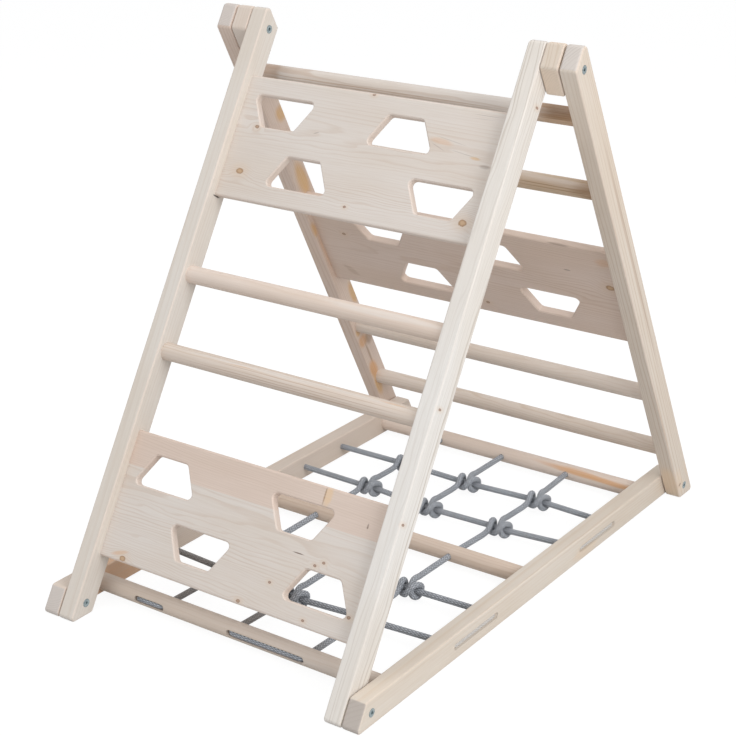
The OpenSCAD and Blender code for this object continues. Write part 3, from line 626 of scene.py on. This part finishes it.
# Fine brown lines under a paler top, and two yellow stains
LOWER_STEP_MARKS = [
    (0.000, -0.5655, -0.0120, 0.270, 0.0030, 0.0, rgb(226, 222, 218), 0.45),
    (0.020, -0.5710, -0.0147, 0.240, 0.0008, 0.0, FAINT, 0.75),
    (0.060, -0.5770, -0.0147, 0.200, 0.0009, 0.0, FAINT, 0.8),
    (-0.020, -0.5812, -0.0131, 0.250, 0.0008, 0.0, FAINT, 0.75),
    (0.050, -0.5845, -0.0105, 0.250, 0.0009, 0.0, FAINT, 0.75),
    (0.207, -0.5635, -0.0105, 0.030, 0.0013, 0.0, RESIN, 0.5),
    (-0.088, -0.5680, -0.0137, 0.028, 0.0011, 0.0, RESIN, 0.4)]
# Two fine brown lines, painted shadow of the left front stile at the left end, and at the right end
# brown growth deepened by painted shade near the spacer
BACK_RUNG_1_LINES_AND_SHADE = [
    (-0.040, -0.0905, -0.0130, 0.270, 0.0010, -0.004, FAINT, 0.9),
    (-0.040, -0.0942, -0.0145, 0.250, 0.0008, 0.0, FAINT, 0.8),
    (-0.280, -0.0880, -0.0060, 0.022, 0.0200, 0.0, FAINT, 0.8),
    (0.310, -0.0980, -0.0080, 0.085, 0.0240, 0.0, rgb(196, 160, 124), 0.9),
    (0.320, -0.0860, -0.0040, 0.100, 0.0110, 0.0, BROWN, 0.9),
    (0.290, -0.0945, -0.0135, 0.050, 0.0012, 0.0, BROWN, 0.7)]
# Brown growth with two lines in it at the right end
BACK_RUNG_2_MARKS = [
    (0.290, -0.2540, -0.0080, 0.190, 0.0240, 0.0, rgb(198, 172, 142), 0.9),
    (0.240, -0.2445, -0.0120, 0.110, 0.0010, 0.0, BROWN, 0.6),
    (0.250, -0.2490, -0.0140, 0.100, 0.0010, 0.0, BROWN, 0.6),
    (0.320, -0.2470, -0.0100, 0.055, 0.0160, 0.0, BROWN, 0.7)]
# A band of resin
REAR_BAR_MARKS = [(0.225, 0.0078, 0.903, 0.165, 0.0056, -0.014, RESIN, 0.95)]
# Round pieces, as (lean, origin, pith, colours, rings, streaks), in the order of their seeds
ROUND_PIECES = {
    "front_upper_rung": (-LEAN_F, PIVOT_T, (-0.50, 0.03, 0.008), FAIR, 0.3, UPPER_STEP_MARKS),
    "front_lower_rung": (-LEAN_F, PIVOT_T, (-0.52, 0.03, 0.008), WARM, 0.9, LOWER_STEP_MARKS),
    "back_rung_1": (LEAN_B, PIVOT_T, (-0.40, 0.03, 0.008), GREY, 0.7, BACK_RUNG_1_LINES_AND_SHADE),
    "back_rung_2": (LEAN_B, PIVOT_T, (-0.50, 0.03, 0.008), WARM, 0.7, BACK_RUNG_2_MARKS),
    "back_rung_3": (LEAN_B, PIVOT_T, (-0.60, 0.03, 0.008), WARM, 0.7, ()),
    "back_rung_4": (LEAN_B, PIVOT_T, (-0.70, 0.03, 0.008), WARM, 0.7, ()),
    "net_front_bar": (0.0, PIVOT_F, (0.03, -0.40, 0.008), WARM, 0.4, ()),
    "net_middle_bar": (0.0, PIVOT_F, (0.03, -0.40, 0.008), TAN, 0.4, ()),
    "net_rear_bar": (0.0, PIVOT_F, (0.03, -0.40, 0.008), FAIR, 0.4, REAR_BAR_MARKS),
}
FIRST_ROUND_SEED = 9.0
for i, (name, (lean, origin, pith, colours, rings, marks)) in enumerate(ROUND_PIECES.items()):
    give(name, spruce(name, lean, origin, "x", pith, colours, FIRST_ROUND_SEED + i, ring=0.0052,
                      rings=rings, streaks=marks))

# Boards: front faces of the two front ones and the inner face of the back one, in depth
FACE, BACK_FACE = -0.0055, -0.0105
# Five knots, a flame of resin and fine cracks right of the upper holes
give("front_upper_board", spruce(
    "upper_board", -LEAN_F, PIVOT_T, "x", (-0.16, 0.05, 0.02), PALE, 20.0, flat=1,
    knots=at_depth(FACE, [
        (-0.218, -0.2515, 0.0052), (-0.211, -0.172, 0.0030), (0.007, -0.278, 0.0020),
        (0.226, -0.268, 0.0055), (-0.002, -0.088, 0.0022)]),
    streaks=at_depth(FACE, [
        (0.146, -0.1470, 0.026, 0.0065, -0.15, RESIN, 0.4),
        (0.164, -0.1430, 0.036, 0.0008, -0.16, CRACK, 0.25),
        (0.143, -0.1560, 0.016, 0.0008, -0.37, CRACK, 0.3),
        (0.196, -0.1610, 0.034, 0.0008, -0.12, CRACK, 0.3),
        (0.214, -0.1648, 0.011, 0.0030, -0.05, OCHRE, 0.6),
        (0.235, -0.1760, 0.012, 0.0040, 0.0, CRACK, 0.35),
        (-0.090, -0.1660, 0.006, 0.0008, 0.3, CRACK, 0.6),
        (0.215, -0.0950, 0.030, 0.0006, 0.0, CRACK, 0.35),
        (0.210, -0.1010, 0.025, 0.0005, 0.02, CRACK, 0.3)])))
# A pink strip on top, an ochre patch with a brown outline in it, knots along the foot
give("front_lower_board", spruce(
    "lower_board", -LEAN_F, PIVOT_T, "x", (-0.80, 0.06, 0.03), PALE, 21.0, flat=1,
    strips=[(-0.770, PINK_STRIP)],
    knots=at_depth(FACE, [
        (0.152, -0.832, 0.0021), (0.166, -0.824, 0.0022), (0.082, -0.878, 0.0020),
        (0.036, -0.921, 0.0028), (0.160, -0.916, 0.0020), (0.236, -0.889, 0.0026),
        (-0.206, -0.920, 0.0045)]),
    streaks=at_depth(FACE, [
        (0.1390, -0.727, 0.0085, 0.0210, 0.0, rgb(226, 196, 162), 0.9),
        (0.1325, -0.728, 0.0018, 0.0180, 0.0, BROWN, 0.7),
        (0.1390, -0.746, 0.0070, 0.0016, 0.0, BROWN, 0.6),
        (0.1170, -0.822, 0.0120, 0.0013, 0.0, CRACK, 1.0),
        (0.2220, -0.751, 0.0020, 0.0050, 0.0, CRACK, 0.7),
        (-0.2150, -0.912, 0.0200, 0.0040, 0.3, RESIN, 0.5)])))
# Three knots, two cracks and two stains
give("back_board", spruce(
    "back_board", LEAN_B, PIVOT_T, "x", (-0.5, -0.05, 0.02), ROSY, 22.0, flat=1, worn=0.2,
    knots=at_depth(BACK_FACE, [
        (-0.255, -0.467, 0.0030), (0.033, -0.573, 0.0030), (0.304, -0.467, 0.0060)]),
    streaks=at_depth(BACK_FACE, [
        (0.220, -0.385, 0.026, 0.0020, 0.0, CRACK, 0.6),
        (0.226, -0.443, 0.008, 0.0015, 0.0, CRACK, 0.7),
        (0.303, -0.410, 0.020, 0.0120, 0.0, RESIN, 0.45),
        (-0.271, -0.566, 0.020, 0.0080, -0.5, BROWN, 0.3)])))

# ---------------------------------------------------------------- steel and nylon


def speckled(name, scale, detail, colours, roughness, metallic=0.0, bump=0.0):
    """A plain material whose colour and roughness vary a little at a fine scale"""
    material, g = surface(name)
    blur = g.noise(g.place(), scale, detail)
    relief = None
    if bump:
        relief = g.node("Bump", {"Strength": bump, "Distance": 0.0003, "Height": blur})
    g.principled({"Base Color": g.mix(g.step(blur, 0.3, 0.7), *colours), "Metallic": metallic,
                  "Roughness": g.step(blur, 0.2, 0.8, *roughness), "Normal": relief})
    return material


steel = speckled("zinc_plated_steel", 420.0, 3.0, (rgb(122, 134, 137), rgb(170, 182, 184)),
                 (0.32, 0.48), metallic=1.0, bump=0.15)
nylon = speckled("natural_nylon", 300.0, 2.0, (rgb(222, 220, 212), rgb(232, 230, 224)),
                 (0.4, 0.5))
for n in nodes:
    if "bolt" in n or "nut" in n:
        give(n, steel)
    elif "washer" in n:
        give(n, nylon)

# ---------------------------------------------------------------- braided rope
# Strands that run right and left, painted shade for the crevices between them, pale fibres, and worn
# patches
STRAND_RIGHT, STRAND_LEFT, CREVICE_SHADE = rgb(175, 180, 187), rgb(198, 203, 211), rgb(66, 70, 78)
PALE_FIBRE, PATCH = rgb(192, 195, 201), rgb(128, 132, 138)
# Painted shade for the rope under the front boards, and a paler colour for the rope in the slots of
# the rails
PAINTED_ROPE_SHADE, PALER_IN_SLOTS = rgb(140, 130, 120), rgb(232, 224, 214)
# Strands round the rope, and the length in which their pattern repeats
STRANDS, LAY = 8, 0.015


def braid(name):
    """Grey braided cord from the tube's own UV map, metres along it and turns round it"""
    material, g = surface(name)
    along, turns = g.parts(g.node("UVMap", uv_map="braid"))[:2]
    turns = g.mul(turns, float(STRANDS))
    pitch = g.div(along, LAY / STRANDS * 4)
    left = g.math("SINE", g.mul(g.add(turns, pitch), math.pi))
    rightward = g.math("SINE", g.mul(g.sub(turns, pitch), math.pi))
    weave = g.mul(left, rightward)
    bulge = g.math("ABSOLUTE", weave)
    fleck = g.noise(g.place(), 900.0)
    tone = g.noise(g.place(), 40.0)
    colour = g.mix(g.step(weave, -0.2, 0.2), STRAND_RIGHT, STRAND_LEFT)
    # Painted shade in the crevices between the strands
    colour = g.mix(g.step(bulge, 0.0, 0.5, 0.85, 0.0), colour, CREVICE_SHADE)
    colour = g.mix(g.step(fleck, 0.35, 0.75, 0.0, 0.35), colour, PALE_FIBRE)
    colour = g.mix(g.step(tone, 0.3, 0.7, 0.0, 0.25), colour, PATCH)
    # Painted shade near the front left corner, for the shade under the front boards, but not in the
    # front bar's slots
    x, y, _ = g.parts(g.place())
    shaded_corner = g.step(g.scaled(x, 0.6, y), -0.36, -0.25, 0.65, 0.0)
    colour = g.mix(g.mul(shaded_corner, g.step(y, -0.425, -0.412)), colour, PAINTED_ROPE_SHADE)
    # Paler where it lies in the slots of the rails
    colour = g.mix(g.step(g.math("ABSOLUTE", x), 0.3025, 0.3060, 0.0, 0.7), colour, PALER_IN_SLOTS)
    height = g.add(g.math("POWER", bulge, 0.5), g.mul(fleck, 0.2))
    bump = g.node("Bump", {"Strength": 0.9, "Distance": 0.0010, "Height": height})
    g.principled({"Base Color": colour, "Roughness": g.step(fleck, 0.2, 0.8, 0.6, 0.75),
                  "Normal": bump, "Specular IOR Level": 0.3})
    return material


def smooth(p, n):
    """Catmull-Rom curve through the points, n steps between each two"""
    out = []
    for i in range(len(p) - 1):
        a, b, c, d = p[max(i - 1, 0)], p[i], p[i + 1], p[min(i + 2, len(p) - 1)]
        for k in range(n):
            t = k / n
            out.append((2 * b + (c - a) * t + (2 * a - 5 * b + 4 * c - d) * t * t
                        + (3 * b - a - 3 * c + d) * t ** 3) / 2)
    return out + [p[-1]]


# One knot in rope diameters: across, turn round the crosswise rope in degrees, reach
KNOT = [
    (-1.00, 14, 1.52), (-1.12, 44, 1.20), (-1.32, 82, 1.10), (-1.45, 130, 1.10),
    (-1.52, 180, 1.09), (-1.50, 230, 1.09), (-1.38, 270, 1.09), (-1.08, 302, 1.09),
    (0.02, 342, 1.50), (0.55, 360, 1.88), (1.05, 380, 1.98), (1.42, 402, 1.85),
    (1.66, 428, 1.50), (1.80, 495, 1.09), (1.76, 540, 1.09), (1.68, 590, 1.09),
    (1.55, 635, 1.09), (1.36, 680, 1.09), (1.16, 712, 1.09), (0.93, 745, 1.09),
    (0.71, 778, 1.10),
]
# The straight ends that lead in and out, as (x, y, z), in rope diameters
KNOT_IN = [(-0.80, -4.2, 0), (-0.92, -2.5, 0)]
KNOT_OUT = [(0.40, 0.35, 1.16), (0.05, 1.6, 1.15), (-0.35, 3.6, 0.60)]
# Middle of the knot on the crosswise rope, and half the length it takes there
KNOT_MID, KNOT_HALF = 0.2, 2.6
KNOT_STEPS = 5
# How far each knot sags or is pulled from its place, in mm: left, middle, right of each row
SAG = [
    [(0, -3, -4), (0, -10, -5), (0, -2, -4)],
    [(0, 0, -3), (0, 0, -3), (-2, 0, -3)],
    [(0, 0, -2), (-3, -6, -5), (1, -3, -5)],
    [(2, 0, 1), (1, 0, -1), (10, 0, 3)],
]


def flat_point(x, y):
    """A point at the height of the holes, from the front foot pivot"""
    return Vector((x, y, 0))


def polar(angle, r):
    """Cosine and sine of an angle in degrees, times r"""
    return r * math.cos(math.radians(angle)), r * math.sin(math.radians(angle))


def knot_place(i, r):
    """Where knot i of row r sits"""
    return flat_point(COLUMNS[i] + KNOT_SHIFT, ROWS[r]) + Vector(SAG[r][i]) / 1000


def knot(i, r):
    """Smooth path of knot i of row r, with the straight ends that lead in and out"""
    turns = []
    for across, angle, reach in KNOT:
        back, rise = polar(angle, reach)
        turns.append((across, -back, rise))
    path = [Vector(p) * ROPE_D + knot_place(i, r) for p in KNOT_IN + turns + KNOT_OUT]
    return smooth(path, KNOT_STEPS)


def corner(cx, cy, a0, a1, n=6):
    """Quarter turn of the rope about a centre, from angle a0 to angle a1"""
    arc = (polar(a0 + (a1 - a0) * k / n, TURN_R) for k in range(n + 1))
    return [flat_point(cx + dx, cy + dy) for dx, dy in arc]


def filled(route, step=0.012):
    """The route with points added on its long straight runs"""
    out = [route[0]]
    for p in route[1:]:
        a = out[-1]
        n = max(1, int((p - a).length / step))
        out += [a.lerp(p, k / n) for k in range(1, n)] + [p]
    return out


def column(i):
    """Lengthwise column i from the front bar to the rear bar, through the middle one"""
    x = COLUMNS[i]
    middle = [flat_point(x, BARS[1] - BAR_R), flat_point(x, BARS[1] + BAR_R)]
    return ([flat_point(x, BARS[0] + BAR_R)] + knot(i, 0) + knot(i, 1) + middle
            + knot(i, 2) + knot(i, 3) + [flat_point(x, BARS[2] - BAR_R)])


def row(r, side):
    """Row r of the crosswise rope, straight through each knot; side +1 runs to the right"""
    pts = [flat_point(-NET_X[0], ROWS[r])]
    pts += [knot_place(i, r) + flat_point((KNOT_MID + s * KNOT_HALF) * ROPE_D, 0)
            for i in range(len(COLUMNS)) for s in (-1, 1)]
    pts.append(flat_point(NET_X[0], ROWS[r]))
    return pts if side > 0 else pts[::-1]


def tube(name, route, sides=16):
    """A rope along the route, with a UV map that gives metres along it and turns round it"""
    last = len(route) - 1
    heads = [(route[min(i + 1, last)] - route[max(i - 1, 0)]).normalized()
             for i in range(last + 1)]
    side = heads[0].cross(Vector((0.01, 0.02, 1))).normalized()
    verts, runs, run = [], [], 0.0
    for i, (p, t) in enumerate(zip(route, heads)):
        side = (side - t * side.dot(t)).normalized()
        other = t.cross(side)
        run += (p - route[i - 1]).length if i else 0.0
        runs.append(run)
        for k in range(sides):
            a = 2 * math.pi * k / sides
            offset = ROPE_SHOWN / 2 * (math.cos(a) * side + math.sin(a) * other)
            verts.append(p + offset + PIVOT_F)
    faces, uvs = [], []
    for i in range(last):
        near, far = i * sides, (i + 1) * sides
        for k in range(sides):
            j = (k + 1) % sides
            faces.append((near + k, near + j, far + j, far + k))
            uvs += [(runs[i], k / sides), (runs[i], (k + 1) / sides),
                    (runs[i + 1], (k + 1) / sides), (runs[i + 1], k / sides)]
    faces.append(tuple(range(sides - 1, -1, -1)))
    faces.append(tuple(last * sides + k for k in range(sides)))
    uvs += [(at, k / sides) for at in (0.0, run) for k in range(sides)]
    mesh = bpy.data.meshes.new(name)
    mesh.from_pydata(verts, [], faces)
    layer = mesh.uv_layers.new(name="braid")
    for loop, uv in zip(layer.data, uvs):
        loop.uv = uv
    for poly in mesh.polygons:
        poly.use_smooth = len(poly.vertices) == 4
    obj = bpy.data.objects.new(name, mesh)
    scene.collection.objects.link(obj)
    return obj


# The lengthwise rope zigzags from left to right and lies in slots of the front and rear bars
front_y = BARS[0] - BAR_R + SLOT_DEEP - SLOT_LINE
rear_y = BARS[2] + BAR_R - SLOT_DEEP + SLOT_LINE
x0, x1, x2 = COLUMNS
long_route = (
    [flat_point(x0 - END_SLOT, front_y)] + corner(x0 - TURN_R, front_y + TURN_R, -90, 0)
    + column(0)
    + corner(x0 + TURN_R, rear_y - TURN_R, 180, 90) + corner(x1 - TURN_R, rear_y - TURN_R, 90, 0)
    + column(1)[::-1]
    + corner(x1 + TURN_R, front_y + TURN_R, 180, 270)
    + corner(x2 - TURN_R, front_y + TURN_R, -90, 0)
    + column(2)
    + corner(x2 + TURN_R, rear_y - TURN_R, 180, 90) + [flat_point(x2 + END_SLOT, rear_y)])

# The crosswise rope zigzags from the rear row to the front one and lies in slots of the rails
slot_x = NET_X[1] - SLOT_DEEP + SLOT_LINE
left_x, right_x = TURN_R - slot_x, slot_x - TURN_R
y0, y1, y2, y3 = ROWS
cross_route = (
    [flat_point(-slot_x, y3 + END_SLOT)] + corner(left_x, y3 + TURN_R, 180, 270)
    + row(3, 1)
    + corner(right_x, y3 - TURN_R, 90, 0) + corner(right_x, y2 + TURN_R, 0, -90)
    + row(2, -1)
    + corner(left_x, y2 - TURN_R, 90, 180) + corner(left_x, y1 + TURN_R, 180, 270)
    + row(1, 1)
    + corner(right_x, y1 - TURN_R, 90, 0) + corner(right_x, y0 + TURN_R, 0, -90)
    + row(0, -1)
    + corner(left_x, y0 - TURN_R, 90, 180) + [flat_point(-slot_x, y0 - END_SLOT)])

rope_material = braid("braided_rope")
for name, route in (("long_rope", long_route), ("cross_rope", cross_route)):
    rope = tube(name + "_braided", filled(route))
    rope.data.materials.append(rope_material)
    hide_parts("net_" + name)
    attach(rope, "net_frame")

# ---------------------------------------------------------------- floor, backdrop and light
FLOOR_REACH, FLOOR_DROP = 30, 0.0004
# Grey for the light that the floor throws back; near white, with the shadows, where it is seen
FLOOR_GREY, FLOOR_SHADE, FLOOR_GLOW = 0.62, 0.15, 0.91
SKY, SKY_STRENGTH = (0.97, 0.985, 1.0, 1.0), 0.56
# Square lamps, as (name, place, height aimed at, size, watts)
LAMPS = [
    ("key", (-0.6, -3.2, 3.2), 0.4, 2.2, 31),
    ("side", (2.75, -0.8, 1.8), 0.45, 1.8, 48),
    ("top", (0.2, 0.6, 3.6), 0.4, 2.5, 22),
]


def grey(value):
    return (value, value, value, 1.0)


def floor_material():
    material, g = surface("studio_floor")
    plain = g.node("BsdfDiffuse", {"Color": grey(FLOOR_GREY)})
    shaded = g.node("BsdfDiffuse", {"Color": grey(FLOOR_SHADE)})
    glow = g.node("Emission", {"Color": grey(1.0), "Strength": FLOOR_GLOW})
    lifted = g.node("AddShader", (shaded, glow))
    g.node("OutputMaterial", (g.node("MixShader", (g.seen(), plain, lifted)),), out=None)
    return material


mesh = bpy.data.meshes.new("floor")
mesh.from_pydata([(x * FLOOR_REACH, y * FLOOR_REACH, -FLOOR_DROP)
                  for x, y in ((-1, -1), (1, -1), (1, 1), (-1, 1))], [], [(0, 1, 2, 3)])
mesh.materials.append(floor_material())
floor = bpy.data.objects.new("floor", mesh)
scene.collection.objects.link(floor)

scene.world = bpy.data.worlds.new("studio")
sky = Graph(scene.world)
soft = sky.node("Background", {"Color": SKY, "Strength": SKY_STRENGTH})
white = sky.node("Background", {"Color": grey(1.0), "Strength": 1.0})
sky.node("OutputWorld", (sky.node("MixShader", (sky.seen(), soft, white)),), out=None)

for name, place, aim_z, size, watts in LAMPS:
    data = bpy.data.lights.new(name, "AREA")
    data.shape, data.size, data.energy = "SQUARE", size, watts
    lamp = bpy.data.objects.new(name, data)
    scene.collection.objects.link(lamp)
    lamp.location = place
    lamp.rotation_mode = "QUATERNION"
    lamp.rotation_quaternion = (Vector((0, 0, aim_z)) - Vector(place)).to_track_quat("-Z", "Y")

scene.view_settings.view_transform = "Standard"
